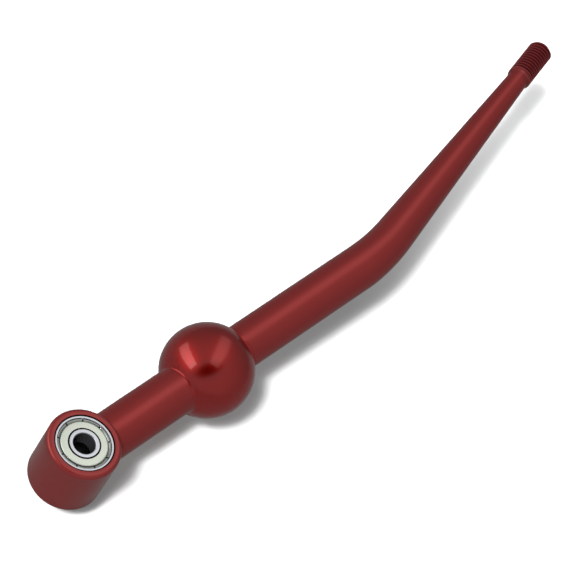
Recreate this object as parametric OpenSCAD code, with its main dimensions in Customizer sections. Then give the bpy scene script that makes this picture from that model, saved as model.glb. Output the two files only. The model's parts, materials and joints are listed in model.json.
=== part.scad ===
// Gear shift lever: a turned and bent aluminium lever with a pivot ball, a threaded
// stud for a knob and a cross barrel that holds two shielded deep-groove ball bearings.
// Millimetres. The origin is the centre of the pivot ball. +Z runs up the lever towards
// the knob, and the barrel and its bearings lie along Y.

/* [Cross barrel] */
// Distance from the pivot ball's centre down to the barrel's axis
barrel_drop = 66.7; // [50:0.1:90]
// Length of the barrel along its axis
barrel_len = 26; // [20:0.5:40]
// Outside diameter of the barrel
barrel_d = 27.5; // [26:0.5:36]
// Radius on the barrel's end edges
barrel_edge_r = 1.5; // [0.4:0.1:1.7]
// Depth of each bearing below the barrel's end face
bearing_recess = 0.3; // [0:0.1:0.8]
// Inside diameter of the shoulder between the bearings
shoulder_d = 19; // [15:0.5:20]

/* [Neck and pivot ball] */
// Diameter of the neck between barrel and ball
neck_d = 18; // [12:0.5:20]
// Diameter of the pivot ball
ball_d = 35.2; // [28:0.2:42]
// Width of the bevel where the neck runs into the ball
neck_bevel = 1; // [0.4:0.1:2]
// Width of the bevel where the shaft runs into the ball
shaft_bevel = 0.4; // [0.3:0.1:2]

/* [Shaft] */
// Diameter of the shaft above the ball
shaft_d = 17.1; // [14:0.1:20]
// Height of the bend above the ball's centre, where the two centre lines cross
bend_height = 93.1; // [60:0.1:120]
// Angle of the bend, in degrees
bend_angle = 14; // [5:0.5:20]
// Radius of the bend on the centre line
bend_r = 100; // [50:1:120]
// Height by which the bend stands proud of the straight parts that run into it
bend_step = 0.03; // [0.02:0.01:0.1]
// Distance below the bend at which the taper starts
taper_lead = 18; // [13:0.5:25]
// Length from the bend to the start of the stud
upper_len = 112.5; // [80:0.5:150]
// Diameter at the thin end of the taper
tip_d = 8.5; // [8:0.1:9.5]

/* [Knob stud] */
// Outside diameter of the stud's thread
thread_d = 10; // [9.8:0.1:12]
// Pitch of the thread
thread_pitch = 1.5; // [1.25:0.25:1.5]
// Number of thread grooves
thread_turns = 12; // [8:1:16]
// Length of the plain collar below the thread
collar_len = 0.5; // [0.3:0.05:2]
// Length of the cone from the taper's end up to the collar
stud_bevel = 1.9; // [0.4:0.1:3]
// Length of the chamfer at the stud's end
tip_chamfer = 1.3; // [0.4:0.05:1.5]

/* [Bearings] */
// Bore of each bearing
bore_d = 8; // [7.8:0.1:8.2]
// Outside diameter of each bearing
bearing_d = 22; // [22:0.1:22.4]
// Width of each bearing
bearing_w = 7; // [7:0.1:7.6]
// Diameter of the bearing balls
roller_d = 3.969; // [3.9:0.001:3.98]
// Number of balls in each bearing
roller_count = 7; // [5:1:7]
// Diameter of the circle that the ball centres lie on
pitch_d = 15; // [14.98:0.01:15.02]
// Gap between a ball and the bottom of each race
race_gap = 0.012; // [0.01:0.001:0.03]
// Gap between a ball and its cage pocket
pocket_gap = 0.06; // [0.03:0.01:0.1]
// Thickness of the cage's sheet steel
cage_t = 0.4; // [0.3:0.05:0.45]
// Thickness of the shields' sheet steel
shield_t = 0.3; // [0.2:0.05:0.3]
// Number of slots in each shield's crimped rim
slot_count = 9; // [6:1:12]
// Width of each slot
slot_w = 0.6; // [0.2:0.05:0.8]
// Angle of the first slot, from +X around the bearing's outward axis
slot_phase = 22; // [0:1:40]

/* [Spacer] */
// Outside diameter of the spacer sleeve between the inner rings
spacer_d = 12; // [11:0.5:13]

/* [Hidden] */
$fn = 96;

// Lever
barrel_r = barrel_d / 2;
half_barrel = barrel_len / 2;
bearing_mid = half_barrel - bearing_recess - bearing_w / 2;
shoulder_len = 2 * (bearing_mid - bearing_w / 2);
bend_tangent = bend_r * tan(bend_angle / 2);
taper_start_z = bend_height - taper_lead;
bend_start_z = bend_height - bend_tangent;
taper_len = taper_lead + upper_len;
bend_d = shaft_d - (shaft_d - tip_d) * taper_lead / taper_len;
cone_len = upper_len - bend_tangent;
bend_overlap = 0.3;
cut = 1;

// Thread: a 60 degree form with a flat of one eighth of the pitch on each crest
thread_depth = 0.6134 * thread_pitch;
crest_w = thread_pitch / 8;
root_w = thread_pitch / 4;
thread_len = thread_turns * thread_pitch;
stud_end_d = thread_d - 2 * tip_chamfer;

// Bearing, measured from its own middle plane along its axis
half_w = bearing_w / 2;
ring_chamfer = 0.3;
bore_chamfer = 0.4;
pitch_r = pitch_d / 2;
roller_r = roller_d / 2;
groove_r = 0.519 * roller_d;
outer_shoulder_r = 8.95;
inner_shoulder_r = 6.05;
inner_face_r = 5.55;
inner_step = 0.95;
lip_r = 10;
lip_depth = 0.3;
lip_bevel = 0.1;
rim_seat_r = 10.2;
rim_seat_depth = 1;
fit_gap = 0.01;

// Shield, as radii and depths below the bearing's end face
shield_bore_r = 6;
plate_r = 8.25;
plate_depth = 0.12;
rim_r = 8.85;
rim_depth = rim_seat_depth - fit_gap - shield_t;
step_back = 0.15;
slot_start_r = rim_r + 0.1;

// Cage
cage_inner_r = 6.6;
cage_outer_r = 8.4;
pocket_r = roller_r + pocket_gap;
rivet_r = 0.35;
rivet_head_r = 0.55;
rivet_head_t = 0.2;

anodised_red = "#7a2a29";
ring_steel = "#d3d6dc";
shield_steel = "#d9dccb";
cage_steel = "#b9b9b4";
ball_steel = "#e4e6ea";
spacer_steel = "#a5a8ac";

// ---------------------------------------------------------------- placing

// Moves children from a Z axis through the origin to the barrel's axis, with +Z along +Y
module on_barrel() {
    translate([0, 0, -barrel_drop]) rotate([-90, 0, 0]) children();
}

// Puts a bearing part in its seat: side is -1 for the right seat at -Y, 1 for the left.
// A part is drawn with its outward end towards +Z.
module in_seat(side) {
    on_barrel() translate([0, 0, side * bearing_mid])
        if (side > 0) children();
        else rotate([180, 0, 0]) children();
}

// Repeats children around the bearing's axis
module around(count, phase = 0) {
    for (i = [0:count - 1]) rotate([0, 0, phase + i * 360 / count]) children();
}

// ---------------------------------------------------------------- lever

// Barrel blank with rounded end edges
module barrel_blank() {
    straight = half_barrel - barrel_edge_r;
    arc = [0:22.5:90];
    rotate_extrude()
        polygon(concat(
            [[0, -half_barrel]],
            [for (a = arc) [
                barrel_r - barrel_edge_r * (1 - sin(a)),
                -straight - barrel_edge_r * cos(a)
            ]],
            [for (a = arc) [
                barrel_r - barrel_edge_r * (1 - cos(a)),
                straight + barrel_edge_r * sin(a)
            ]],
            [[0, half_barrel]]
        ));
}

// Two bearing seats with the shoulder's bore between them
module barrel_bores() {
    seat_depth = bearing_recess + bearing_w;
    cylinder(h = barrel_len + 2 * cut, d = shoulder_d, center = true);
    for (side = [-1, 1])
        translate([0, 0, side * (half_barrel - seat_depth / 2 + cut / 2)])
            cylinder(h = seat_depth + cut, d = bearing_d, center = true);
}

// Short cone of the given width that eases a round bar of diameter d into the pivot ball
module bevel_cone(d, width) {
    top_r = d / 2 + width;
    base_z = sqrt(pow(ball_d / 2, 2) - pow(top_r, 2));
    translate([0, 0, base_z - cut]) cylinder(h = cut, r = top_r);
    translate([0, 0, base_z]) cylinder(h = width, r1 = top_r, r2 = d / 2);
}

module neck_and_ball() {
    translate([0, 0, -barrel_drop]) cylinder(h = barrel_drop, d = neck_d);
    sphere(d = ball_d);
    bevel_cone(shaft_d, shaft_bevel);
    mirror([0, 0, 1]) bevel_cone(neck_d, neck_bevel);
}

// Straight shaft, the start of the taper and the bend
module bent_shaft() {
    cylinder(h = taper_start_z, d = shaft_d);
    translate([0, 0, taper_start_z])
        cylinder(h = bend_start_z - taper_start_z + bend_overlap, d1 = shaft_d, d2 = bend_d);
    translate([-bend_r, 0, bend_start_z]) rotate([90, 0, 0])
        rotate_extrude(angle = bend_angle)
            translate([bend_r, 0]) circle(r = bend_d / 2 + bend_step);
}

// Moves children to the end of the bend, with +Z along the upper shaft
module above_bend() {
    translate([-bend_r * (1 - cos(bend_angle)), 0, bend_start_z + bend_r * sin(bend_angle)])
        rotate([0, -bend_angle, 0]) children();
}

// Outline of the stud: cone, plain collar, grooves and end chamfer
module stud() {
    r = thread_d / 2;
    flank = (thread_pitch - crest_w - root_w) / 2;
    first = stud_bevel + collar_len;
    rotate_extrude()
        polygon(concat(
            [[0, 0], [tip_d / 2, 0], [r, stud_bevel]],
            [for (i = [0:thread_turns - 1], p = [
                [r, 0],
                [r - thread_depth, flank],
                [r - thread_depth, flank + root_w],
                [r, 2 * flank + root_w]
            ]) [p[0], first + i * thread_pitch + p[1]]],
            [
                [r, first + thread_len],
                [stud_end_d / 2, first + thread_len + tip_chamfer],
                [0, first + thread_len + tip_chamfer]
            ]
        ));
}

module upper_shaft() {
    translate([0, 0, -bend_overlap])
        cylinder(h = cone_len + bend_overlap, d1 = bend_d, d2 = tip_d);
    translate([0, 0, cone_len]) stud();
}

module lever_body() {
    color(anodised_red) {
        difference() {
            union() {
                on_barrel() barrel_blank();
                neck_and_ball();
            }
            on_barrel() barrel_bores();
        }
        bent_shaft();
        above_bend() upper_shaft();
    }
}

// ---------------------------------------------------------------- clamped stack

module bearing_spacer() {
    color(spacer_steel) on_barrel() difference() {
        cylinder(h = shoulder_len, d = spacer_d, center = true);
        cylinder(h = shoulder_len + 2 * cut, d = bore_d, center = true);
    }
}

// ---------------------------------------------------------------- bearing

// Ring outline: a half section given for the +Z side is mirrored to the -Z side
module ring_from_half(half_section) {
    last = len(half_section) - 1;
    rotate_extrude()
        polygon(concat(
            half_section,
            [for (i = [last:-1:0]) [half_section[i][0], -half_section[i][1]]]
        ));
}

// Race: a torus that leaves race_gap below each ball, cut into a ring
module race_groove(centre_r) {
    rotate_extrude() translate([centre_r, 0]) circle(r = groove_r);
}

module outer_ring(side) {
    outside_r = bearing_d / 2;
    color(ring_steel) in_seat(side) difference() {
        ring_from_half([
            [outer_shoulder_r, half_w - rim_seat_depth],
            [rim_seat_r, half_w - rim_seat_depth],
            [rim_seat_r, half_w - lip_depth - lip_bevel],
            [lip_r, half_w - lip_depth],
            [lip_r, half_w],
            [outside_r - ring_chamfer, half_w],
            [outside_r, half_w - ring_chamfer]
        ]);
        race_groove(pitch_r + roller_r + race_gap - groove_r);
    }
}

module inner_ring(side) {
    bore_r = bore_d / 2;
    color(ring_steel) in_seat(side) difference() {
        ring_from_half([
            [bore_r, half_w - bore_chamfer],
            [bore_r + bore_chamfer, half_w],
            [inner_face_r, half_w],
            [inner_face_r, half_w - inner_step],
            [inner_shoulder_r, half_w - inner_step]
        ]);
        race_groove(pitch_r - roller_r - race_gap + groove_r);
    }
}

// Pressed shield: flat plate, step and slotted rim that sits in the outer ring's groove.
// end is 1 for the shield at the bearing's outward end and -1 for the inward one.
module shield(side, end) {
    seat_r = rim_seat_r - fit_gap;
    color(shield_steel) in_seat(side) mirror([0, 0, (1 - end) / 2])
        translate([0, 0, half_w]) difference() {
            rotate_extrude()
                polygon([
                    [shield_bore_r, -plate_depth],
                    [plate_r, -plate_depth],
                    [rim_r, -rim_depth],
                    [seat_r, -rim_depth],
                    [seat_r, -rim_depth - shield_t],
                    [rim_r - step_back, -rim_depth - shield_t],
                    [plate_r - step_back, -plate_depth - shield_t],
                    [shield_bore_r, -plate_depth - shield_t]
                ]);
            around(slot_count, slot_phase)
                translate([slot_start_r, -slot_w / 2, -rim_depth - shield_t - cut])
                    cube([seat_r, slot_w, shield_t + 2 * cut]);
        }
}

module bearing_ball(side, index) {
    color(ball_steel) in_seat(side) rotate([0, 0, (index - 1) * 360 / roller_count])
        translate([pitch_r, 0, 0]) sphere(d = roller_d);
}

// Flat ring between the cage's inner and outer edges
module cage_band(h) {
    difference() {
        cylinder(h = h, r = cage_outer_r);
        translate([0, 0, -cut]) cylinder(h = h + 2 * cut, r = cage_inner_r);
    }
}

// One pressed half of the cage: flat webs at the middle plane and a pocket over each ball
module cage_half(side, end) {
    color(cage_steel) in_seat(side) mirror([0, 0, (1 - end) / 2]) difference() {
        intersection() {
            cage_band(half_w);
            union() {
                translate([0, 0, -cut]) cylinder(h = cut + cage_t, r = cage_outer_r + cut);
                around(roller_count) translate([pitch_r, 0, 0]) sphere(r = pocket_r + cage_t);
            }
        }
        around(roller_count) translate([pitch_r, 0, 0]) sphere(r = pocket_r);
        around(roller_count, 180 / roller_count)
            translate([pitch_r, 0, -cut]) cylinder(h = cage_t + 2 * cut, r = rivet_r);
    }
}

module cage_rivets(side) {
    color(cage_steel) in_seat(side) around(roller_count, 180 / roller_count)
        translate([pitch_r, 0, 0]) {
            cylinder(h = 2 * cage_t, r = rivet_r, center = true);
            for (end = [-1, 1])
                translate([0, 0, end * (cage_t + rivet_head_t / 2)])
                    cylinder(h = rivet_head_t, r = rivet_head_r, center = true);
        }
}

// ---------------------------------------------------------------- assembly

lever_body();
bearing_spacer();
outer_ring(-1);  // right_outer_ring
inner_ring(-1);  // right_inner_ring
shield(-1, 1);  // right_outer_shield
shield(-1, -1);  // right_inner_shield
cage_half(-1, 1);  // right_outer_cage_half
cage_half(-1, -1);  // right_inner_cage_half
cage_rivets(-1);  // right_cage_rivets
bearing_ball(-1, 1);  // right_ball_1
bearing_ball(-1, 2);  // right_ball_2
bearing_ball(-1, 3);  // right_ball_3
bearing_ball(-1, 4);  // right_ball_4
bearing_ball(-1, 5);  // right_ball_5
bearing_ball(-1, 6);  // right_ball_6
bearing_ball(-1, 7);  // right_ball_7
outer_ring(1);  // left_outer_ring
inner_ring(1);  // left_inner_ring
shield(1, 1);  // left_outer_shield
shield(1, -1);  // left_inner_shield
cage_half(1, 1);  // left_outer_cage_half
cage_half(1, -1);  // left_inner_cage_half
cage_rivets(1);  // left_cage_rivets
bearing_ball(1, 1);  // left_ball_1
bearing_ball(1, 2);  // left_ball_2
bearing_ball(1, 3);  // left_ball_3
bearing_ball(1, 4);  // left_ball_4
bearing_ball(1, 5);  // left_ball_5
bearing_ball(1, 6);  // left_ball_6
bearing_ball(1, 7);  // left_ball_7
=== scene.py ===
"""Looks of a gear shift lever: red anodised lever body and two shielded ball bearings."""

import itertools
import json
import math

import bpy
from mathutils import Matrix, Vector


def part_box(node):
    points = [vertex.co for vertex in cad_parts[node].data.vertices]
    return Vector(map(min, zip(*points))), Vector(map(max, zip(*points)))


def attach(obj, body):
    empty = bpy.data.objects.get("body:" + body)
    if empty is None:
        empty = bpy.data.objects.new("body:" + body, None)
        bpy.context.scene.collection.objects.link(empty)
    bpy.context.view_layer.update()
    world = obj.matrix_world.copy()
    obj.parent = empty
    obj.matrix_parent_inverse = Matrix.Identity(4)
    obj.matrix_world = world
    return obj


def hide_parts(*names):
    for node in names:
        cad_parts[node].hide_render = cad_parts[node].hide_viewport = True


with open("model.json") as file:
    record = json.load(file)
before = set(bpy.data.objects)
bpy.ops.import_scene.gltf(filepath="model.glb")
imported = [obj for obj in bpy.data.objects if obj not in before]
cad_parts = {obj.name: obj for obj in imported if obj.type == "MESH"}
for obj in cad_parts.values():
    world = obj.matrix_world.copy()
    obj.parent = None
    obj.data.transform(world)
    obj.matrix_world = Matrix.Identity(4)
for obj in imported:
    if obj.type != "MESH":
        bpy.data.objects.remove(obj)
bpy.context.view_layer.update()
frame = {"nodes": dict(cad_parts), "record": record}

# ------------------------------------------------------------------ sizes, in millimetres
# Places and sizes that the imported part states
MM = 0.001
mounts = {m["name"]: m for m in frame["record"]["mounts"]}
BORE = mounts["pivot_bolt_bore"]
STUD = mounts["knob_thread"]
BARREL_Z = BORE["pos_m"][2] / MM
BORE_R = BORE["dims"]["r_mm"]
BALL_R = mounts["pivot_ball"]["dims"]["r_mm"]
THREAD_R = STUD["dims"]["r_mm"]


def node_box(node):
    """Lowest and highest corner of a CAD node in millimetres."""
    low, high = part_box(node)
    return [c / MM for c in low], [c / MM for c in high]


# Sizes that the CAD nodes have
LEVER_LOW, _ = node_box("lever_body")
RING_LOW, RING_HIGH = node_box("left_outer_ring")
_, SPACER_HIGH = node_box("bearing_spacer")
BARREL_R = BARREL_Z - LEVER_LOW[2]
BEARING_R = (RING_HIGH[2] - RING_LOW[2]) / 2
BEARING_W = RING_HIGH[1] - RING_LOW[1]
BEARING_MID = (RING_HIGH[1] + RING_LOW[1]) / 2
SPACER_R = SPACER_HIGH[0]
SPACER_HALF = SPACER_HIGH[1]

# Barrel and spacer
SPACER_EDGE_R = 0.15
BEARING_RECESS = 0.3
BARREL_HALF = RING_HIGH[1] + BEARING_RECESS
BARREL_EDGE_R = 1.5
SHOULDER_R = 9.5
SHOULDER_CHAMFER = 0.2

# Soft mouth of the bearing seat: how far out from the seat and how far in from the end
SEAT_MOUTH = ((0.14, 0), (0.05, 0.03), (0, 0.12))

# Neck, ball and shaft
NECK_R = 9.0
SHAFT_R = 8.55
NECK_FILLET = 1.9
NECK_BALL_FILLET = 1.0
SHAFT_BALL_FILLET = 0.3
BEND_R = 100.0

# Taper: its thin end, how far before the bend it starts, and how long its soft start is
TIP_R = 4.25
TAPER_LEAD = 9.0
TAPER_BLEND = 6.0

# Bend: the stud's axis crosses the straight shaft's axis at BEND_Z
STUD_AXIS = Vector(STUD["axis"])
STUD_MID = Vector(STUD["pos_m"]) / MM
BEND = math.atan2(-STUD_AXIS.x, STUD_AXIS.z)
BEND_Z = STUD_MID.z + STUD_MID.x / math.tan(BEND)
BEND_TANGENT = BEND_R * math.tan(BEND / 2)
BEND_START = BEND_Z - BEND_TANGENT
BEND_END = BEND_START + BEND_R * BEND

# Stud. Half a crest and half a root are shares of the pitch
PITCH = 1.5
THREAD_DEPTH = 0.6134 * PITCH
HALF_CREST = 1 / 16
HALF_ROOT = 1 / 8
COLLAR_LEN = 0.5
TIP_CHAMFER = 1.3
TIP_INSETS = (0.1, 1.5)
STUD_LEN = STUD["dims"]["length_mm"]

# Cone up to the collar, with a soft foot and a soft edge
STUD_CONE = 1.9
CONE_SOFT = 0.15
FOOT_LIFT = (0.02, 0.08)
EDGE_DROP = (0.08, 0.03)

# Places on the stud, as distances along the centre line from the ball's centre
BEND_TO_STUD = (STUD_MID - Vector((0, 0, BEND_Z))).length
COLLAR_START = BEND_END + BEND_TO_STUD - BEND_TANGENT - STUD_LEN / 2
TAPER_END = COLLAR_START - STUD_CONE
THREAD_START = COLLAR_START + COLLAR_LEN
CHAMFER_START = COLLAR_START + STUD_LEN
TIP = CHAMFER_START + TIP_CHAMFER

# Straight distance from the ball's centre to the start of the thread
THREAD_FROM_BALL = (STUD_MID - STUD_AXIS * (STUD_LEN / 2 - COLLAR_LEN)).length

# Bearing rings
RACE_R = 2.06
BALL_ORBIT_R = 7.5
RACE_OFFSET = 0.066
OUTER_LAND_R = 8.95
INNER_LAND_R = 6.05
INNER_FACE_R = 5.55
INNER_STEP = 0.95
LIP_R = 10.0
RING_CHAMFER = 0.34
RING_CHAMFER_DEPTH = 0.45
BORE_CHAMFER = 0.4
RING_EDGE_R = 0.07
LIP_DEPTH = 0.3
LIP_BEVEL = 0.1
RIM_SEAT_R = 10.2
RIM_SEAT_DEPTH = 1.0
BALLS = 7

# Shield: a raised plate, a step down from it, and a lower rim with a bead and slots
SHIELD_T = 0.3
SHIELD_BORE_R = 6.0
SHIELD_EDGE = 0.05
PLATE_R = 8.25
PLATE_DEPTH = 0.12
STEP_START_R = 8.17
STEP_END_R = 8.87
STEP_BACK_START_R = 8.15
STEP_BACK_END_R = 8.73
RIM_R = 8.85
RIM_START_R = 8.92
BEAD_START_R = 9.04
BEAD_END_R = 10.0
BEAD_HEIGHT = 0.27
FIT_GAP = 0.01
SLOTS = 9
SLOT_START_R = 8.97
SLOT_W = 0.6
SLOT_PHASE = math.radians(22)

# Mesh fineness of the lever body. The barrel's unrolled side has SIDE_STEPS along each side
# and RING_STEPS along each end, and its rows crowd toward the neck
AROUND = 240
SIDE_STEPS = 20
HALF_SIDE = SIDE_STEPS // 2
RING_STEPS = AROUND // 2 - SIDE_STEPS
SIDE_ROWS = 22
SIDE_CROWDING = 1.2
EDGE_STEPS = 8
NECK_FILLET_STEPS = 8
NECK_ROWS = 8
BALL_FILLET_STEPS = 5
PIVOT_BALL_ROWS = 60
SHAFT_ROWS = 20
BEND_ROWS = 26
TAPER_ROWS = 24

# Rows of vertices across one pitch of the thread, as shares of the pitch from a crest's middle
THREAD_ROWS = (-HALF_CREST, HALF_CREST, 0.17, 0.28, 0.375, 0.5, 0.625, 0.72, 0.83)

# Rows of the thread that come nearer than this to the ring at either end of it are left out
THREAD_ROW_GAP = 0.03

# Mesh fineness of the bearings
LATHE_STEPS = 180
BEARING_BALL_STEPS = 48
GROOVE_STEPS = 14
BEAD_STEPS = 8
PLATE_STEP_STEPS = 6
SLOT_TO_SLOT_STEPS = 18

# A corner that turns less than this isn't rounded
LEAST_TURN = math.radians(20)
ROUND_STEPS = 3

# An edge that turns more than this is shaded as a sharp one
SHARP_EDGE = math.radians(38)


# ------------------------------------------------------------------ mesh building
def add_object(name, data):
    """Makes an object and puts it in the scene."""
    thing = bpy.data.objects.new(name, data)
    bpy.context.scene.collection.objects.link(thing)
    return thing


class Skin:
    """Vertices in millimetres and faces of one piece."""

    def __init__(self):
        self.points = []
        self.faces = []

    def add(self, points):
        """Adds points and returns their indices."""
        first = len(self.points)
        self.points.extend(tuple(p) for p in points)
        return list(range(first, len(self.points)))

    def strip(self, a, b, closed=True):
        """Quads between two rows of vertices of equal length."""
        count = len(a)
        for i in range(count if closed else count - 1):
            j = (i + 1) % count
            self.face([a[i], a[j], b[j], b[i]])

    def face(self, loop):
        """Adds a face, without repeated vertices."""
        clean = [v for i, v in enumerate(loop) if v != loop[i - 1]]
        if len(clean) > 2:
            self.faces.append(clean)

    def build(self, name, material, body, *replaced):
        """Makes the Blender object, rides it on its body and hides the CAD nodes it stands for."""
        mesh = bpy.data.meshes.new(name)
        mesh.from_pydata([[c * MM for c in p] for p in self.points], [], self.faces)
        mesh.validate()
        mesh.materials.append(material)
        mesh.shade_smooth()
        mesh.set_sharp_from_angle(angle=SHARP_EDGE)
        piece = add_object(name, mesh)
        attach(piece, body)
        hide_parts(*replaced)
        return piece


def arc(centre, radius, start, end, steps):
    """Points of an arc in a 2D outline, angles in degrees."""
    turn = [math.radians(start + (end - start) * i / steps) for i in range(steps + 1)]
    return [(centre[0] + radius * math.cos(a), centre[1] + radius * math.sin(a)) for a in turn]


def rounded(outline, radius):
    """A closed 2D outline with its corners rounded, except where it turns little or is short."""
    result = []
    count = len(outline)
    for i in range(count):
        before, here, after = (Vector(outline[(i + k) % count]) for k in (-1, 0, 1))
        into, out = here - before, after - here
        turn = into.angle(out)
        reach = radius * math.tan(turn / 2)
        if turn < LEAST_TURN or reach > min(into.length, out.length) / 2:
            result.append(tuple(here))
            continue
        first = here - into.normalized() * reach
        last = here + out.normalized() * reach
        for k in range(ROUND_STEPS + 1):
            t = k / ROUND_STEPS
            result.append(tuple((1 - t) ** 2 * first + 2 * t * (1 - t) * here + t * t * last))
    return result


def lathe_point(radius, along, angle, y0, facing):
    """Point on a part turned about the barrel's axis. along is measured outward from y0."""
    return (radius * math.sin(angle), y0 + facing * along, BARREL_Z + radius * math.cos(angle))


def lathe(outline, y0, facing):
    """Closed ring from a closed outline of (radius, along) points that runs anticlockwise."""
    skin = Skin()
    angles = [facing * 2 * math.pi * i / LATHE_STEPS for i in range(LATHE_STEPS)]
    rows = []
    for radius, along in outline:
        rows.append(skin.add(lathe_point(radius, along, a, y0, facing) for a in angles))
    for i, row in enumerate(rows):
        skin.strip(row, rows[(i + 1) % len(rows)])
    return skin


# ------------------------------------------------------------------ lever body
def spine(s):
    """Point and in-plane direction of the centre line at distance s from the ball's centre."""
    if s <= BEND_START:
        return Vector((0, 0, s)), Vector((1, 0, 0))
    turn = min((s - BEND_START) / BEND_R, BEND)
    centre = Vector((-BEND_R, 0, BEND_START))
    side = Vector((math.cos(turn), 0, math.sin(turn)))
    along = Vector((-math.sin(turn), 0, math.cos(turn)))
    return centre + side * BEND_R + along * max(s - BEND_END, 0), side


def spine_ring(s, radius):
    """Circle of points around the centre line."""
    return [spine_point(s, radius, 2 * math.pi * i / AROUND) for i in range(AROUND)]


def spine_point(s, radius, angle):
    """Point beside the centre line, at an angle from its in-plane direction."""
    centre, side = spine(s)
    return centre + side * (radius * math.cos(angle)) + Vector((0, radius * math.sin(angle), 0))


def taper_radius(s):
    """Radius of the shaft, with a soft start to its taper."""
    start = BEND_Z - TAPER_LEAD
    slope = (SHAFT_R - TIP_R) / (TAPER_END - start)
    past = s - start
    if past < -TAPER_BLEND / 2:
        soft = 0
    elif past < TAPER_BLEND / 2:
        soft = (past + TAPER_BLEND / 2) ** 2 / (2 * TAPER_BLEND)
    else:
        soft = past
    return SHAFT_R - slope * soft


def ball_fillet(bar_r, fillet):
    """Height and half angle of the fillet between a bar and the pivot ball."""
    height = math.sqrt((BALL_R + fillet) ** 2 - (bar_r + fillet) ** 2)
    return height, math.atan2(height, bar_r + fillet)


def ball_outline():
    """Outline from the neck's fillet over the ball to the shaft's fillet, as (s, radius)."""
    neck_h, neck_a = ball_fillet(NECK_R, NECK_BALL_FILLET)
    shaft_h, shaft_a = ball_fillet(SHAFT_R, SHAFT_BALL_FILLET)
    points = []
    for i in range(BALL_FILLET_STEPS):
        a = neck_a * i / BALL_FILLET_STEPS
        lift = NECK_BALL_FILLET * (1 - math.cos(a))
        points.append((-neck_h + NECK_BALL_FILLET * math.sin(a), NECK_R + lift))
    for i in range(PIVOT_BALL_ROWS + 1):
        a = -neck_a + (neck_a + shaft_a) * i / PIVOT_BALL_ROWS
        points.append((BALL_R * math.sin(a), BALL_R * math.cos(a)))
    for i in reversed(range(BALL_FILLET_STEPS)):
        a = shaft_a * i / BALL_FILLET_STEPS
        lift = SHAFT_BALL_FILLET * (1 - math.cos(a))
        points.append((shaft_h - SHAFT_BALL_FILLET * math.sin(a), SHAFT_R + lift))
    return points


def shaft_outline():
    """Outline of the shaft from above the ball to the start of the thread."""
    stretches = (
        (BEND_START, SHAFT_ROWS),
        (BEND_END, BEND_ROWS),
        (TAPER_END - 2 * CONE_SOFT, TAPER_ROWS),
    )
    points = []
    start, _ = ball_fillet(SHAFT_R, SHAFT_BALL_FILLET)
    for end, steps in stretches:
        for i in range(1, steps + 1):
            s = start + (end - start) * i / steps
            points.append((s, taper_radius(s)))
        start = end
    return points + [
        (TAPER_END - CONE_SOFT, TIP_R + FOOT_LIFT[0]),
        (TAPER_END + CONE_SOFT, TIP_R + FOOT_LIFT[1]),
        (COLLAR_START - CONE_SOFT, THREAD_R - EDGE_DROP[0]),
        (COLLAR_START, THREAD_R - EDGE_DROP[1]),
        (COLLAR_START + CONE_SOFT, THREAD_R),
    ]


def thread_depth(phase):
    """Share of the thread's depth at a phase of 0 to 1 of one pitch, crest at 0."""
    away = min(phase, 1 - phase)
    flank = 1 / 2 - HALF_CREST - HALF_ROOT
    return min(max((away - HALF_CREST) / flank, 0), 1)


def thread_radius(s, phase):
    """Radius of the threaded stud, with its run-out at the collar and the end chamfer."""
    run_out = min(max((s - THREAD_START) / PITCH, 0), 1)
    depth = THREAD_DEPTH * run_out * thread_depth(phase)
    chamfer = THREAD_R - max(s - CHAMFER_START, 0)
    return min(THREAD_R - depth, chamfer)


def add_thread(skin, first_ring):
    """A helical thread from first_ring up to the tip. Returns the ring at the tip."""
    rings = [THREAD_START, CHAMFER_START, TIP]
    turns = range(-2, math.ceil((TIP - THREAD_START) / PITCH) + 1)
    columns = []
    last_ring = []
    for i in range(AROUND):
        angle = 2 * math.pi * i / AROUND
        lead = THREAD_START + PITCH * angle / (2 * math.pi)
        column = [(("ring", 0), first_ring[i])]
        for part in (0, 1):
            low, high = rings[part], rings[part + 1]
            for turn, (k, share) in itertools.product(turns, enumerate(THREAD_ROWS)):
                s = lead + (turn + share) * PITCH
                if low + THREAD_ROW_GAP < s < high - THREAD_ROW_GAP:
                    point = spine_point(s, thread_radius(s, share % 1), angle)
                    key = ("helix", part, turn * len(THREAD_ROWS) + k)
                    column.append((key, skin.add([point])[0]))
            phase = ((high - lead) / PITCH) % 1
            ring = skin.add([spine_point(high, thread_radius(high, phase), angle)])[0]
            column.append((("ring", part + 1), ring))
        columns.append(column)
        last_ring.append(column[-1][1])
    # the last column meets the first one a turn further along each helix
    columns.append([(turn_back(key), vertex) for key, vertex in columns[0]])
    for left, right in zip(columns, columns[1:]):
        join_columns(skin, left, right)
    return last_ring


def turn_back(key):
    """Key that a vertex of the thread has one turn earlier on its helix."""
    if key[0] == "ring":
        return key
    return (*key[:2], key[2] - len(THREAD_ROWS))


def join_columns(skin, left, right):
    """Faces between two columns of the thread, matched by the helix that each vertex lies on."""
    shared = [key for key, _ in left if key in dict(right)]
    at_left = {key: i for i, (key, _) in enumerate(left)}
    at_right = {key: i for i, (key, _) in enumerate(right)}
    for low, high in zip(shared, shared[1:]):
        side_a = [v for _, v in left[at_left[low] : at_left[high] + 1]]
        side_b = [v for _, v in right[at_right[low] : at_right[high] + 1]]
        skin.face(side_b + side_a[::-1])


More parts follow.
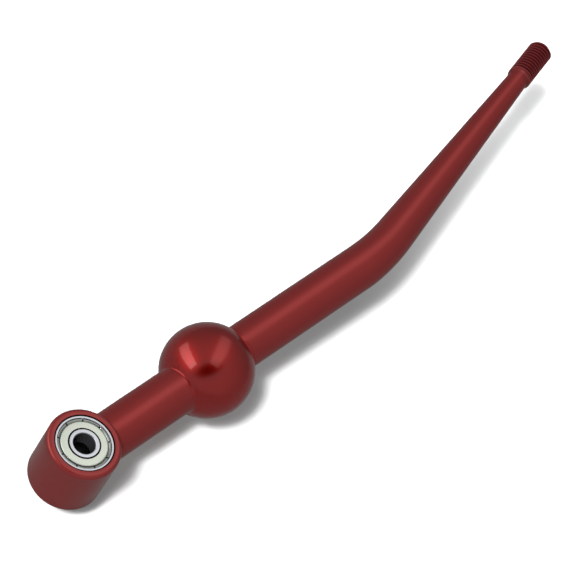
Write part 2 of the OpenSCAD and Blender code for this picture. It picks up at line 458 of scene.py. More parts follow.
def add_neck_fillet(skin):
    """Rolling-ball fillet between neck and barrel. Returns its neck ring and its barrel ring."""
    reach = NECK_R + NECK_FILLET
    lift = BARREL_R + NECK_FILLET
    rows = [[] for _ in range(NECK_FILLET_STEPS + 1)]
    for i in range(AROUND):
        angle = 2 * math.pi * i / AROUND
        x, y = reach * math.cos(angle), reach * math.sin(angle)
        z = math.sqrt(lift**2 - x**2)
        centre = Vector((x, y, BARREL_Z + z))
        to_neck = Vector((-math.cos(angle), -math.sin(angle), 0))
        to_barrel = Vector((-x, 0, -z)) / lift
        for k, row in enumerate(rows):
            outward = to_neck.slerp(to_barrel, k / NECK_FILLET_STEPS)
            row.append(centre + outward * NECK_FILLET)
    rings = [skin.add(row) for row in rows]
    for a, b in zip(rings, rings[1:]):
        skin.strip(b, a)
    return rings[0], rings[-1]


def barrel_border():
    """Edge of the barrel's unrolled side as (angle, y), once around from the low line."""
    straight = BARREL_HALF - BARREL_EDGE_R
    around = [math.pi * (1 - 2 * i / RING_STEPS) for i in range(RING_STEPS)]
    border = [(math.pi, straight * i / HALF_SIDE) for i in range(HALF_SIDE)]
    border += [(angle, straight) for angle in around]
    border += [(-math.pi, straight * (1 - i / HALF_SIDE)) for i in range(SIDE_STEPS)]
    border += [(-angle, -straight) for angle in around]
    border += [(math.pi, straight * (i / HALF_SIDE - 1)) for i in range(HALF_SIDE)]
    return border


def add_barrel_side(skin, foot):
    """The barrel's round side, from the fillet's foot to the end edges.

    Returns the ring at each end. The side is a grid that spreads from the foot to the border
    of the unrolled side, and its low line is shared by both halves.
    """
    border = barrel_border()
    inner = []
    for v in foot:
        x, y, z = skin.points[v]
        inner.append((math.atan2(x, z - BARREL_Z), y))
    rows = [foot]
    for k in range(1, SIDE_ROWS + 1):
        t = (k / SIDE_ROWS) ** SIDE_CROWDING
        row = []
        placed = {}
        for (angle_a, y_a), (angle_b, y_b) in zip(inner, border):
            angle = angle_a + (angle_b - angle_a) * t
            y = y_a + (y_b - y_a) * t
            point = lathe_point(BARREL_R, y, angle, 0, 1)
            key = tuple(round(c, 6) for c in point)
            if key not in placed:
                placed[key] = skin.add([point])[0]
            row.append(placed[key])
        rows.append(row)
    for a, b in zip(rows, rows[1:]):
        skin.strip(b, a)
    left_start = HALF_SIDE
    right_start = left_start + RING_STEPS + SIDE_STEPS
    left = rows[-1][left_start : left_start + RING_STEPS]
    right = rows[-1][right_start : right_start + RING_STEPS]
    return left, right


def barrel_end_outline():
    """Outline of one barrel end, from past the rounded edge to the shoulder's bore."""
    face = BARREL_HALF - BEARING_RECESS
    seat = face - BEARING_W
    centre = (BARREL_R - BARREL_EDGE_R, BARREL_HALF - BARREL_EDGE_R)
    edge = arc(centre, BARREL_EDGE_R, 0, 90, EDGE_STEPS)
    mouth = [(BEARING_R + out, BARREL_HALF - into) for out, into in SEAT_MOUTH]
    return edge[1:] + mouth + [
        (BEARING_R, face - RING_CHAMFER_DEPTH),
        (BEARING_R, seat),
        (SHOULDER_R + SHOULDER_CHAMFER, seat),
        (SHOULDER_R, seat - SHOULDER_CHAMFER),
    ]


def add_barrel_inside(skin, left, right):
    """Rounded edges, bearing seats and the shoulder between them, from the ring at each end."""
    ends = []
    for ring, sign in ((left, 1), (right, -1)):
        angles = [math.atan2(skin.points[v][0], skin.points[v][2] - BARREL_Z) for v in ring]
        for radius, along in barrel_end_outline():
            row = skin.add(lathe_point(radius, along, a, 0, sign) for a in angles)
            skin.strip(row, ring)
            ring = row
        ends.append(ring)
    # the right end's vertices run the other way around, so they are put in the left end's order
    right_end = [ends[1][0]] + ends[1][:0:-1]
    skin.strip(right_end, ends[0])


def lever_body(material):
    """The whole lever as one closed skin."""
    skin = Skin()
    neck_ring, foot = add_neck_fillet(skin)
    left, right = add_barrel_side(skin, foot)
    add_barrel_inside(skin, left, right)

    neck_height, _ = ball_fillet(NECK_R, NECK_BALL_FILLET)
    neck_top = spine_ring(-neck_height, NECK_R)
    ring = neck_ring
    for k in range(1, NECK_ROWS):
        t = k / NECK_ROWS
        row = skin.add(Vector(skin.points[v]).lerp(p, t) for v, p in zip(neck_ring, neck_top))
        skin.strip(ring, row)
        ring = row
    for s, radius in ball_outline() + shaft_outline() + [(THREAD_START, THREAD_R)]:
        row = skin.add(spine_ring(s, radius))
        skin.strip(ring, row)
        ring = row
    ring = add_thread(skin, ring)
    # two rings and a face close the flat tip
    for inset in TIP_INSETS:
        row = skin.add(spine_ring(TIP, THREAD_R - TIP_CHAMFER - inset))
        skin.strip(ring, row)
        ring = row
    skin.face(ring)
    return skin.build("lever_body_skin", material, "lever", "lever_body")


# ------------------------------------------------------------------ bearings
def groove_reach(centre_r, land_r):
    """Half angle of the ball groove, from its middle to the land at its side, in degrees."""
    return math.degrees(math.acos(abs(land_r - centre_r) / RACE_R))


def outer_ring(name, side, material):
    """Ring with the outer ball groove, and a lip in front of the shield's seat."""
    half = BEARING_W / 2
    centre = BALL_ORBIT_R - RACE_OFFSET
    reach = groove_reach(centre, OUTER_LAND_R)
    groove = arc((centre, 0), RACE_R, reach, -reach, GROOVE_STEPS)
    seat = half - RIM_SEAT_DEPTH
    upper = [
        (OUTER_LAND_R, seat),
        (RIM_SEAT_R, seat),
        (RIM_SEAT_R, half - LIP_DEPTH - LIP_BEVEL),
        (LIP_R, half - LIP_DEPTH),
        (LIP_R, half),
        (BEARING_R - RING_CHAMFER, half),
        (BEARING_R, half - RING_CHAMFER_DEPTH),
    ]
    lower = [(r, -a) for r, a in reversed(upper)]
    outline = rounded(upper + lower, RING_EDGE_R) + groove[::-1]
    skin = lathe(outline[::-1], side * BEARING_MID, side)
    return skin.build(f"{name}_outer_ring_turned", material, "lever", f"{name}_outer_ring")


def inner_ring(name, side, material):
    """Ring with the bore, the inner ball groove and a step beside each shield."""
    half = BEARING_W / 2
    centre = BALL_ORBIT_R + RACE_OFFSET
    reach = groove_reach(centre, INNER_LAND_R)
    groove = arc((centre, 0), RACE_R, 180 + reach, 180 - reach, GROOVE_STEPS)
    upper = [
        (BORE_R, half - BORE_CHAMFER),
        (BORE_R + BORE_CHAMFER, half),
        (INNER_FACE_R, half),
        (INNER_FACE_R, half - INNER_STEP),
        (INNER_LAND_R, half - INNER_STEP),
    ]
    lower = [(r, -a) for r, a in reversed(upper)]
    outline = rounded(lower + upper, RING_EDGE_R) + groove[::-1]
    skin = lathe(outline[::-1], side * BEARING_MID, side)
    piece = f"{name}_inner_ring_turned"
    return skin.build(piece, material, "clamped_core", f"{name}_inner_ring")


def shield_outline():
    """Two stretches of the shield's outline: the plate, and the rim that the slots cut."""
    seat_r = RIM_SEAT_R - FIT_GAP
    rim_back = -RIM_SEAT_DEPTH + FIT_GAP
    rim_front = rim_back + SHIELD_T
    plate_back = -PLATE_DEPTH - SHIELD_T
    plate = [
        (SLOT_START_R, rim_back),
        (STEP_BACK_END_R, rim_back),
        (STEP_BACK_START_R, plate_back),
        (SHIELD_BORE_R + SHIELD_EDGE, plate_back),
        (SHIELD_BORE_R, plate_back + SHIELD_EDGE),
        (SHIELD_BORE_R, -PLATE_DEPTH - SHIELD_EDGE),
        (SHIELD_BORE_R + SHIELD_EDGE, -PLATE_DEPTH),
    ]
    # the plate bends down to the rim in a parabola
    width = STEP_END_R - STEP_START_R
    drop = -PLATE_DEPTH - rim_front - SHIELD_EDGE
    for k in range(PLATE_STEP_STEPS + 1):
        t = k / PLATE_STEP_STEPS
        plate.append((STEP_START_R + width * t, -PLATE_DEPTH - drop * t**2))
    plate += [(RIM_START_R, rim_front), (SLOT_START_R, rim_front)]
    # the rim has a round bead
    rim = []
    for k in range(BEAD_STEPS + 1):
        t = k / BEAD_STEPS
        bead_r = BEAD_START_R + (BEAD_END_R - BEAD_START_R) * t
        rim.append((bead_r, rim_front + BEAD_HEIGHT * math.sin(math.pi * t)))
    rim += [
        (seat_r - SHIELD_EDGE, rim_front),
        (seat_r, rim_front - SHIELD_EDGE),
        (seat_r, rim_back + SHIELD_EDGE),
        (seat_r - SHIELD_EDGE, rim_back),
    ]
    return plate, rim


def shield_angles():
    """Angles of the shield's rows around its axis, each with whether a slot follows it."""
    apart = 2 * math.pi / SLOTS
    slot_half = SLOT_W / (RIM_R + RIM_SEAT_R)
    rest = apart - 2 * slot_half
    rows = []
    for i in range(SLOTS):
        middle = SLOT_PHASE + i * apart
        rows.append((middle - slot_half, True))
        for k in range(SLOT_TO_SLOT_STEPS):
            rows.append((middle + slot_half + rest * k / SLOT_TO_SLOT_STEPS, False))
    return rows


def shield(name, side, material):
    """Pressed shield whose rim is cut by slots."""
    skin = Skin()
    plate, rim = shield_outline()
    face_y = side * (BEARING_MID + BEARING_W / 2)
    sections = []
    for angle, slot in shield_angles():
        turn = math.pi / 2 + side * angle
        plate_row = skin.add(lathe_point(r, d, turn, face_y, side) for r, d in plate)
        rim_row = skin.add(lathe_point(r, d, turn, face_y, side) for r, d in rim)
        rim_loop = [plate_row[-1]] + rim_row + [plate_row[0]]
        sections.append((slot, plate_row, rim_loop))
    for here, there in zip(sections, sections[1:] + sections[:1]):
        slot, plate_a, rim_a = here
        _, plate_b, rim_b = there
        skin.strip(plate_a, plate_b, closed=False)
        if slot:
            skin.face([rim_a[-1], rim_b[-1], rim_b[0], rim_a[0]])
            skin.face(rim_a)
            skin.face(rim_b[::-1])
        else:
            skin.strip(rim_a, rim_b, closed=False)
    return skin.build(f"{name}_shield_pressed", material, "lever", f"{name}_outer_shield")


def bearing_ball(node, body, material):
    """A smooth ball where its CAD node lies, with its poles along the barrel's axis."""
    low, high = (Vector(corner) for corner in node_box(node))
    centre = (low + high) / 2
    radius = (high.y - low.y) / 2
    pole = Vector((0, radius, 0))
    angles = [2 * math.pi * i / BEARING_BALL_STEPS for i in range(BEARING_BALL_STEPS)]
    skin = Skin()
    rows = [skin.add([centre - pole]) * BEARING_BALL_STEPS]
    for k in range(1, BEARING_BALL_STEPS // 2):
        across = radius * math.sin(angles[k])
        middle = centre - pole * math.cos(angles[k])
        circle = [Vector((across * math.sin(a), 0, across * math.cos(a))) for a in angles]
        rows.append(skin.add(middle + place for place in circle))
    rows.append(skin.add([centre + pole]) * BEARING_BALL_STEPS)
    for a, b in zip(rows, rows[1:]):
        skin.strip(a, b)
    return skin.build(f"{node}_ground", material, body, node)


def spacer(material):
    """Sleeve between the inner rings, with soft edges."""
    corners = [
        (BORE_R, -SPACER_HALF),
        (SPACER_R, -SPACER_HALF),
        (SPACER_R, SPACER_HALF),
        (BORE_R, SPACER_HALF),
    ]
    skin = lathe(rounded(corners, SPACER_EDGE_R), 0, 1)
    return skin.build("bearing_spacer_turned", material, "clamped_core", "bearing_spacer")


# ------------------------------------------------------------------ shader graphs
class Graph:
    """Short ways to add and link the nodes of a shader tree."""

    def __init__(self, tree):
        self.tree = tree

    def add(self, kind, inputs=None, **settings):
        """Adds a node. A socket among its inputs is linked, and any other value is set."""
        node = self.tree.nodes.new(kind)
        for key, value in settings.items():
            setattr(node, key, value)
        for key, value in (inputs or {}).items():
            self.feed(node.inputs[key], value)
        return node

    def feed(self, socket, value):
        """Links a socket to an input, or sets the input to any other value."""
        if isinstance(value, bpy.types.NodeSocket):
            self.tree.links.new(value, socket)
        else:
            socket.default_value = value

    def maths(self, operation, a, b=0.0):
        """Result of one operation on one or two numbers."""
        return self.add("ShaderNodeMath", {0: a, 1: b}, operation=operation).outputs[0]

    def ramp(self, value, low, high, to_low=0.0, to_high=1.0):
        """value mapped smoothly from low..high to to_low..to_high, held at both ends."""
        inputs = {"Value": value, "From Min": low, "From Max": high}
        inputs |= {"To Min": to_low, "To Max": to_high}
        node = self.add("ShaderNodeMapRange", inputs, interpolation_type="SMOOTHSTEP")
        return node.outputs["Result"]

    def mix(self, factor, a, b):
        """Colour a blended to colour b."""
        return self.add("ShaderNodeMix", {0: factor, 6: a, 7: b}, data_type="RGBA").outputs[2]

    def blend(self, factor, a, b):
        """Number a blended to number b."""
        return self.add("ShaderNodeMix", {0: factor, 2: a, 3: b}).outputs[0]

    def dot(self, vector, axis):
        """Part of a vector along an axis."""
        node = self.add("ShaderNodeVectorMath", {0: vector, 1: axis}, operation="DOT_PRODUCT")
        return node.outputs["Value"]


class Finish(Graph):
    """A material of the object, for one of the record's material slots."""

    def __init__(self, name, slot):
        self.material = bpy.data.materials.new(name)
        self.material["slot"] = slot
        self.material.use_nodes = True
        super().__init__(self.material.node_tree)
        self.shader = self.tree.nodes["Principled BSDF"]
        self.place = self.add("ShaderNodeTexCoord").outputs["Object"]

    def noise(self, scale, detail=2.0, vector=None):
        """Noise over the object coordinate, or over another vector."""
        inputs = {"Vector": vector or self.place, "Scale": scale, "Detail": detail}
        return self.add("ShaderNodeTexNoise", inputs).outputs["Fac"]

    def split(self):
        """x, y and z of the object coordinate."""
        return self.add("ShaderNodeSeparateXYZ", {"Vector": self.place}).outputs

    def length(self, vector):
        """Length of a vector, in millimetres."""
        node = self.add("ShaderNodeVectorMath", {0: vector}, operation="LENGTH")
        return self.maths("DIVIDE", node.outputs["Value"], MM)

    def barrel_radius(self):
        """Distance from the barrel's axis, in millimetres."""
        x, _, z = self.split()
        drop = self.maths("SUBTRACT", z, BARREL_Z * MM)
        return self.length(self.add("ShaderNodeCombineXYZ", {"X": x, "Y": drop}).outputs[0])

    def stud_radius(self):
        """Distance from the stud's axis, in millimetres."""
        middle = {0: self.place, 1: STUD_MID * MM}
        offset = self.add("ShaderNodeVectorMath", middle, operation="SUBTRACT").outputs[0]
        across = {0: offset, 1: STUD_AXIS}
        product = self.add("ShaderNodeVectorMath", across, operation="CROSS_PRODUCT")
        return self.length(product.outputs[0])

    def band(self, value, middle, core, reach):
        """1 where value is within core of middle, and 0 beyond reach."""
        away = self.maths("ABSOLUTE", self.maths("SUBTRACT", value, middle))
        return self.ramp(away, core, reach, 1, 0)

    def bump(self, height, strength):
        """Shades the surface as if height raised it by BUMP_HEIGHT."""
        inputs = {"Height": height, "Strength": strength, "Distance": BUMP_HEIGHT * MM}
        self.set(Normal=self.add("ShaderNodeBump", inputs).outputs["Normal"])

    def set(self, **values):
        """Sets or links inputs of the Principled shader, with _ for a space in a name."""
        for key, value in values.items():
            self.feed(self.shader.inputs[key.replace("_", " ")], value)


# ------------------------------------------------------------------ materials
# How far in millimetres the grain and the turning marks stand out
BUMP_HEIGHT = 0.02

RED_DEEP = (0.375, 0.030, 0.028, 1)
RED_BRIGHT = (0.405, 0.035, 0.032, 1)
RED_POLISHED = (0.50, 0.012, 0.008, 1)
RED_PAINTED_REFLECTION = (0.80, 0.08, 0.075, 1)
RED_SHADED = (0.02, 0.004, 0.004, 1)
RED_ROOT_PAINTED_SHADE = (0.12, 0.011, 0.014, 1)
RED_CREST = (0.34, 0.038, 0.040, 1)
RED_SPECULAR = (0.5, 0.35, 0.35, 1)

RING_DARK = (0.56, 0.57, 0.61, 1)
RING_LIGHT = (0.66, 0.67, 0.71, 1)
BORE_PAINTED_SHADE = (0.08, 0.08, 0.09, 1)
GAP_PAINTED_SHADE = (0.012, 0.012, 0.014, 1)
GAP_SHADE_SPECULAR = (0.2, 0.2, 0.2, 1)
WHITE = (1, 1, 1, 1)

PLATE_DARK = (0.50, 0.53, 0.46, 1)
PLATE_LIGHT = (0.54, 0.57, 0.49, 1)
RIM_DARK = (0.44, 0.46, 0.42, 1)
RIM_LIGHT = (0.56, 0.58, 0.53, 1)
SHIELD_PAINTED_SHADE = (0.02, 0.02, 0.02, 1)

# The spacer's steel is painted nearly black, as shade in the bore
SPACER_SHADE_DARK = (0.05, 0.05, 0.05, 1)
SPACER_SHADE_LIGHT = (0.08, 0.08, 0.08, 1)
CAGE_DARK = (0.42, 0.42, 0.40, 1)
CAGE_LIGHT = (0.52, 0.52, 0.50, 1)
BEARING_BALL_DARK = (0.82, 0.83, 0.85, 1)
BEARING_BALL_LIGHT = (0.88, 0.89, 0.91, 1)


def anodised_red():
    """Dyed anodised aluminium: satin on the bars, polished on the pivot ball, with painted shade
    in the bearing seats and on the stud and painted lighter reflections near the ball.
    """
    m = Finish("anodised_red", "anodised_red")
    from_ball = m.length(m.place)
    off_ball = m.ramp(from_ball, BALL_R + 0.1, BALL_R + 1.2)
    near_ball = m.ramp(from_ball, BALL_R + 4, BALL_R + 12, 1, 0)
    on_thread = m.ramp(from_ball, THREAD_FROM_BALL - 4, THREAD_FROM_BALL + 0.6)
    on_crest = m.ramp(m.stud_radius(), THREAD_R - 0.5, THREAD_R - 0.05)
    radius = m.barrel_radius()
    # painted shade: inside the bearing seat the red is darkened nearly black and loses its coat
    in_seat = m.ramp(radius, BEARING_R + 0.06, BEARING_R + 0.14, 1, 0)
    on_barrel = m.ramp(radius, BARREL_R + 0.5, BARREL_R + 3, 1, 0)
    grain = m.noise(2600.0, detail=3.0)
    smooth = m.blend(off_ball, 0.33, m.blend(on_barrel, 0.34, 0.42))
    coat = m.blend(off_ball, 1.0, m.blend(on_barrel, 0.7, 1.0))
    dye_and_painted_light = m.mix(off_ball, RED_POLISHED, m.mix(m.noise(60.0), RED_DEEP, RED_BRIGHT))
    # painted shade: from the foot of the stud on, the red is darkened where the surface lies well
    # below the thread's crests, mostly in the thread's roots
    dye_and_painted_light = m.mix(on_thread, dye_and_painted_light, m.mix(on_crest, RED_ROOT_PAINTED_SHADE, RED_CREST))
    # painted reflection: what the ball and the bars beside it mirror of each other is painted
    # lighter
    mirror = m.add("ShaderNodeLightPath").outputs["Is Glossy Ray"]
    dye_and_painted_light = m.mix(m.maths("MULTIPLY", mirror, near_ball), dye_and_painted_light, RED_PAINTED_REFLECTION)
    m.set(
        Base_Color=m.mix(in_seat, dye_and_painted_light, RED_SHADED),
        Metallic=m.blend(off_ball, 1.0, 0.9),
        Specular_Tint=RED_SPECULAR,
        Roughness=m.maths("ADD", smooth, m.maths("MULTIPLY", grain, 0.04)),
        Coat_Weight=m.blend(in_seat, coat, 0),
        Coat_Roughness=m.blend(off_ball, 0.07, 0.28),
        Coat_IOR=m.blend(off_ball, 1.56, 1.5),
    )
    m.bump(grain, m.blend(off_ball, 0.02, 0.1))
    return m.material


def turned_rings(m, scale, strength):
    """Fine turning marks around the barrel's axis."""
    _, y, _ = m.split()
    marks = m.add("ShaderNodeCombineXYZ", {"X": m.barrel_radius(), "Y": y}).outputs[0]
    m.bump(m.noise(scale, detail=3.0, vector=marks), strength)


def bearing_steel():
    """Ground bearing steel, with painted shade that darkens the bore and the gaps beside the
    rings.
    """
    m = Finish("bearing_steel", "ring_steel")
    radius = m.barrel_radius()
    # painted shade: the bore, everything between the inner ring's face and the outer ring's lip,
    # and the outer chamfer are darkened, and those gaps are made rough and dull
    in_bore = m.ramp(radius, BORE_R + 0.05, BORE_R + 0.42, 1, 0)
    past_inner = m.ramp(radius, INNER_FACE_R - 0.12, INNER_FACE_R - 0.04)
    before_lip = m.ramp(radius, LIP_R - 0.08, LIP_R, 1, 0)
    chamfer_r = BEARING_R - RING_CHAMFER
    past_outer = m.ramp(radius, chamfer_r - 0.12, chamfer_r - 0.02)
    gaps = m.maths("ADD", m.maths("MULTIPLY", past_inner, before_lip), past_outer)
    dark = m.maths("MINIMUM", gaps, 1)
    ground = m.mix(in_bore, m.mix(m.noise(300.0), RING_DARK, RING_LIGHT), BORE_PAINTED_SHADE)
    m.set(
        Base_Color=m.mix(dark, ground, GAP_PAINTED_SHADE),
        Metallic=0.75,
        Roughness=m.blend(dark, 0.24, 0.5),
        Specular_IOR_Level=m.blend(dark, 0.5, 0.1),
        Specular_Tint=m.mix(dark, WHITE, GAP_SHADE_SPECULAR),
    )
    turned_rings(m, scale=9.0, strength=0.06)
    return m.material


def shield_zinc():
    """Pressed and plated sheet steel with a faint green cast, greyer on its slotted rim, with
    painted shade at its bore, at the foot of its step and at the rim's outer edge.
    """
    m = Finish("shield_zinc", "shield_steel")
    cloud = m.noise(250.0)
    radius = m.barrel_radius()
    on_rim = m.ramp(radius, PLATE_R + 0.15, RIM_R)
    # painted shade: dark lines at the foot of the step, by the rim's outer edge and in the bore
    step_foot = m.band(radius, RIM_R - 0.02, 0.08, 0.2)
    rim_edge = m.ramp(radius, RIM_SEAT_R - 0.26, RIM_SEAT_R - 0.12)
    in_bore = m.ramp(radius, SHIELD_BORE_R + 0.06, SHIELD_BORE_R + 0.14, 1, 0)
    painted_shade = m.maths("MAXIMUM", in_bore, m.maths("MAXIMUM", step_foot, rim_edge))
    plate = m.mix(cloud, PLATE_DARK, PLATE_LIGHT)
    rim = m.mix(cloud, RIM_DARK, RIM_LIGHT)
    m.set(
        Base_Color=m.mix(painted_shade, m.mix(on_rim, plate, rim), SHIELD_PAINTED_SHADE),
        Metallic=m.blend(on_rim, 0.6, 0.95),
        Roughness=m.maths("ADD", 0.25, m.maths("MULTIPLY", cloud, 0.04)),
    )
    return m.material


def plain_metal(name, dark, light, roughness, scale):
    """A simpler machined metal for pieces inside the barrel."""
    m = Finish(name, name)
    cloud = m.noise(scale, detail=3.0)
    m.set(
        Base_Color=m.mix(cloud, dark, light),
        Metallic=1.0,
        Roughness=m.maths("ADD", roughness, m.maths("MULTIPLY", cloud, 0.1)),
    )
    m.bump(cloud, 0.08)
    return m.material


def give(node, material):
    """Puts a material on a CAD node that stays as it is."""
    piece = frame["nodes"][node]
    if not piece.material_slots:
        piece.data.materials.append(material)
    for slot in piece.material_slots:
        slot.material = material


# ------------------------------------------------------------------ pieces
red = anodised_red()
steel = bearing_steel()
zinc = shield_zinc()
# painted shade: the spacer is nearly black, so the bore looks shaded
shaded_spacer_metal = plain_metal("spacer_steel", SPACER_SHADE_DARK, SPACER_SHADE_LIGHT, roughness=0.4, scale=500.0)
pressed = plain_metal("cage_steel", CAGE_DARK, CAGE_LIGHT, roughness=0.3, scale=700.0)
polished = plain_metal(
    "ball_steel", BEARING_BALL_DARK, BEARING_BALL_LIGHT, roughness=0.04, scale=900.0
)

lever_body(red)
spacer(shaded_spacer_metal)
for side_name, side_sign in (("right", -1), ("left", 1)):
    outer_ring(side_name, side_sign, steel)
    inner_ring(side_name, side_sign, steel)
    shield(side_name, side_sign, zinc)
    give(f"{side_name}_inner_shield", zinc)
    for part in ("outer_cage_half", "inner_cage_half", "cage_rivets"):
        give(f"{side_name}_{part}", pressed)
    for number in range(1, BALLS + 1):
        bearing_ball(f"{side_name}_ball_{number}", f"{side_name}_ball_body_{number}", polished)


# ------------------------------------------------------------------ camera
# Angles of the view, the camera's distance from the pivot ball's centre, and how far right of
# the view's middle and above it that centre lies. Lengths are in metres
VIEW_AZIMUTH = math.radians(12.778)
VIEW_ELEVATION = math.radians(-34.812)
VIEW_ROLL = math.radians(56.293)
VIEW_DISTANCE = 1.1862
BALL_RIGHT = -0.029408
BALL_UP = -0.029814

# Sensor width and lens in millimetres
SENSOR = 36.0
LENS = 204.69

toward = Vector(
    (
        math.cos(VIEW_ELEVATION) * math.sin(VIEW_AZIMUTH),
        -math.cos(VIEW_ELEVATION) * math.cos(VIEW_AZIMUTH),
        math.sin(VIEW_ELEVATION),
    )
)
level_right = Vector((0, 0, 1)).cross(toward).normalized()
level_up = toward.cross(level_right)
view_right = level_right * math.cos(VIEW_ROLL) + level_up * math.sin(VIEW_ROLL)
view_up = toward.cross(view_right)
view = Matrix((view_right, view_up, toward)).transposed()


def in_view(right, up, back):
    """A point given in the view's own directions, measured from the ball's centre."""
    return view @ Vector((right, up, back))


def add_camera():
    """The scene's camera, at the angle and distance that the values above state."""
    data = bpy.data.cameras.new("camera")
    data.sensor_width = SENSOR
    data.lens = LENS
    data.clip_end = 10
    camera = add_object("camera", data)
    place = in_view(-BALL_RIGHT, -BALL_UP, VIEW_DISTANCE)
    camera.matrix_world = Matrix.Translation(place) @ view.to_4x4()
    bpy.context.scene.camera = camera


# ------------------------------------------------------------------ floor and light
# Shade of the floor, as the camera sees it and as the lever mirrors it
FLOOR_SEEN = 0.66
FLOOR_MIRRORED = 0.15

# The floor's tilt, its gap to the barrel in millimetres and half its width in metres
FLOOR_RISE = math.radians(5.5)
FLOOR_GAP = 14.0
FLOOR_HALF = 3.0

# The floor glows faintly toward the stud, which thins the shadow there. GLOW_FROM and GLOW_TO
# are heights above the pivot ball's centre in millimetres
GLOW = 0.35
GLOW_FROM = 90
GLOW_TO = 240

# Brightness of the room that the lever mirrors, behind the camera and opposite it
ROOM_FRONT = 0.42
ROOM_BACK = 0.16

# Colour and brightness of the backdrop
BACKDROP_TINT = (0.97, 1, 1, 1)
BACKDROP = 1.05

# Dark oval beside the camera that the ball mirrors, in the view's directions at a distance of 1
OVAL_DARK = 0.0
OVAL_TILT = math.radians(20)
OVAL_CENTRE = (0.075, 0.04)
OVAL_REACH = (0.72, 0.35)

# Two strip lights beside the camera, with ends in the view's directions. Lengths are in metres
STRIPS = {
    "left_strip": {
        "ends": ((-0.235, 0.073, 0.423), (-0.33, 0.366, -0.007)),
        "width": 0.17,
        "radiance": 1.9,
        "soft": 0.15,
        "far_share": 0.35,
    },
    "right_strip": {
        "ends": ((0.13, 0.08, 0.46), (0.308, 0.525, -0.178)),
        "width": 0.24,
        "radiance": 0.63,
        "soft": 0.6,
        "far_share": 0.38,
    },
}

# Place of both suns in the view's directions, and the strength and the spread of each
SUN_PLACE = (-0.079, 0.1415, 1.0)
SUNS = {
    "sharp_sun": (3.9, math.radians(5)),
    "soft_sun": (2.3, math.radians(11)),
}


def floor_normal():
    """Direction that the floor faces. It lies beside the barrel's left end and leans back."""
    return Vector((0, -math.cos(FLOOR_RISE), math.sin(FLOOR_RISE)))


def floor_material():
    """Pale floor, clear from behind, and darker in what the lever mirrors."""
    material = bpy.data.materials.new("floor")
    material.use_nodes = True
    material.node_tree.nodes.clear()
    g = Graph(material.node_tree)
    seen = g.add("ShaderNodeLightPath").outputs["Is Camera Ray"]
    paper = g.add("ShaderNodeBsdfDiffuse", {"Color": g.blend(seen, FLOOR_MIRRORED, FLOOR_SEEN)})
    geometry = g.add("ShaderNodeNewGeometry")
    height = g.dot(geometry.outputs["Position"], (0, 0, 1))
    glow = g.ramp(height, GLOW_FROM * MM, GLOW_TO * MM, 0, GLOW)
    shine = g.add("ShaderNodeEmission", {"Strength": g.maths("MULTIPLY", seen, glow)})
    lit = g.add("ShaderNodeAddShader", {0: paper.outputs[0], 1: shine.outputs[0]})
    clear = g.add("ShaderNodeBsdfTransparent")
    below = geometry.outputs["Backfacing"]
    sheet = g.add("ShaderNodeMixShader", {0: below, 1: lit.outputs[0], 2: clear.outputs[0]})
    g.add("ShaderNodeOutputMaterial", {"Surface": sheet.outputs[0]})
    return material


def add_floor():
    """A square floor beside the lever."""
    normal = floor_normal()
    mesh = bpy.data.meshes.new("floor")
    corners = [(-1, -1), (1, -1), (1, 1), (-1, 1)]
    points = [(x * FLOOR_HALF, y * FLOOR_HALF, 0) for x, y in corners]
    mesh.from_pydata(points, [], [range(len(points))])
    mesh.materials.append(floor_material())
    floor = add_object("floor", mesh)
    floor.rotation_euler = normal.to_track_quat("Z", "Y").to_euler()
    drop = BARREL_HALF * math.cos(FLOOR_RISE) + (BARREL_R - BARREL_Z) * math.sin(FLOOR_RISE)
    floor.location = -normal * (drop + FLOOR_GAP) * MM


def fade_strip(tree, shape, soft, far_share):
    """Fades a strip light toward its edges and its far end. shape is its width over its length."""
    g = Graph(tree)
    place = g.add("ShaderNodeNewGeometry").outputs["Parametric"]
    across, up, _ = g.add("ShaderNodeSeparateXYZ", {"Vector": place}).outputs
    strength = g.blend(up, 1, far_share)
    for part, edge in ((across, soft), (up, soft * shape)):
        from_middle = g.maths("ABSOLUTE", g.maths("SUBTRACT", g.maths("MULTIPLY", part, 2), 1))
        strength = g.maths("MULTIPLY", strength, g.ramp(from_middle, 1 - edge, 1, 1, 0))
    g.feed(tree.nodes["Emission"].inputs["Strength"], strength)


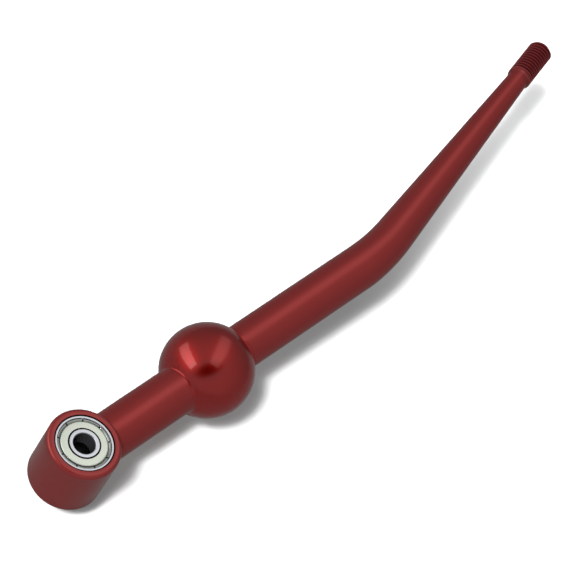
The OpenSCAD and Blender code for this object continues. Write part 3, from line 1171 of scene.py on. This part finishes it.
def add_strip(name, ends, width, radiance, soft, far_share):
    """Strip light that faces the pivot ball.

    soft is the share of the half width that fades at each side, and far_share is the
    brightness of the far end next to that of the near end.
    """
    start, end = (in_view(*place) for place in ends)
    length = (end - start).length
    data = bpy.data.lights.new(name, "AREA")
    data.shape = "RECTANGLE"
    data.size = width
    data.size_y = length
    data.energy = radiance * math.pi * width * length
    data.use_nodes = True
    fade_strip(data.node_tree, width / length, soft, far_share)
    lamp = add_object(name, data)
    middle = (start + end) / 2
    along = (end - start).normalized()
    away = (middle - along * middle.dot(along)).normalized()
    axes = Matrix((along.cross(away), along, away)).transposed().to_4x4()
    lamp.matrix_world = Matrix.Translation(middle) @ axes
    lamp.visible_camera = False


def add_sun(name, strength, spread):
    """Light that casts the shadow. Only the strips show as reflections."""
    data = bpy.data.lights.new(name, "SUN")
    data.energy = strength
    data.angle = spread
    lamp = add_object(name, data)
    lamp.rotation_euler = in_view(*SUN_PLACE).to_track_quat("Z", "Y").to_euler()
    lamp.visible_glossy = False


def add_room():
    """White to the camera, and a grey room with a dark oval at the camera in reflections."""
    world = bpy.data.worlds.new("room")
    world.use_nodes = True
    g = Graph(world.node_tree)
    ray = g.add("ShaderNodeTexCoord").outputs["Generated"]
    facing = g.dot(ray, toward)
    centre = in_view(*OVAL_CENTRE, 1)
    # 0 at the oval's centre, 1 at its edge, and more than 1 opposite the camera
    spread = g.maths("LESS_THAN", facing, 0)
    long_axis = (math.cos(OVAL_TILT), math.sin(OVAL_TILT))
    short_axis = (-long_axis[1], long_axis[0])
    for axis, reach in zip((long_axis, short_axis), OVAL_REACH):
        axis = in_view(*axis, 0)
        offset = g.maths("SUBTRACT", g.dot(ray, axis), centre.dot(axis))
        spread = g.maths("ADD", spread, g.maths("POWER", g.maths("DIVIDE", offset, reach), 2))
    oval = g.ramp(spread, 0, 1, OVAL_DARK, 1)
    mirrored = g.maths("MULTIPLY", g.ramp(facing, -1, 1, ROOM_BACK, ROOM_FRONT), oval)
    seen = g.add("ShaderNodeLightPath").outputs["Is Camera Ray"]
    background = world.node_tree.nodes["Background"]
    background.inputs["Color"].default_value = BACKDROP_TINT
    g.feed(background.inputs["Strength"], g.blend(seen, mirrored, BACKDROP))
    bpy.context.scene.world = world


add_camera()
add_floor()
for strip_name, strip in STRIPS.items():
    add_strip(strip_name, **strip)
for sun_name, sun in SUNS.items():
    add_sun(sun_name, *sun)
add_room()
bpy.context.scene.view_settings.view_transform = "Standard"
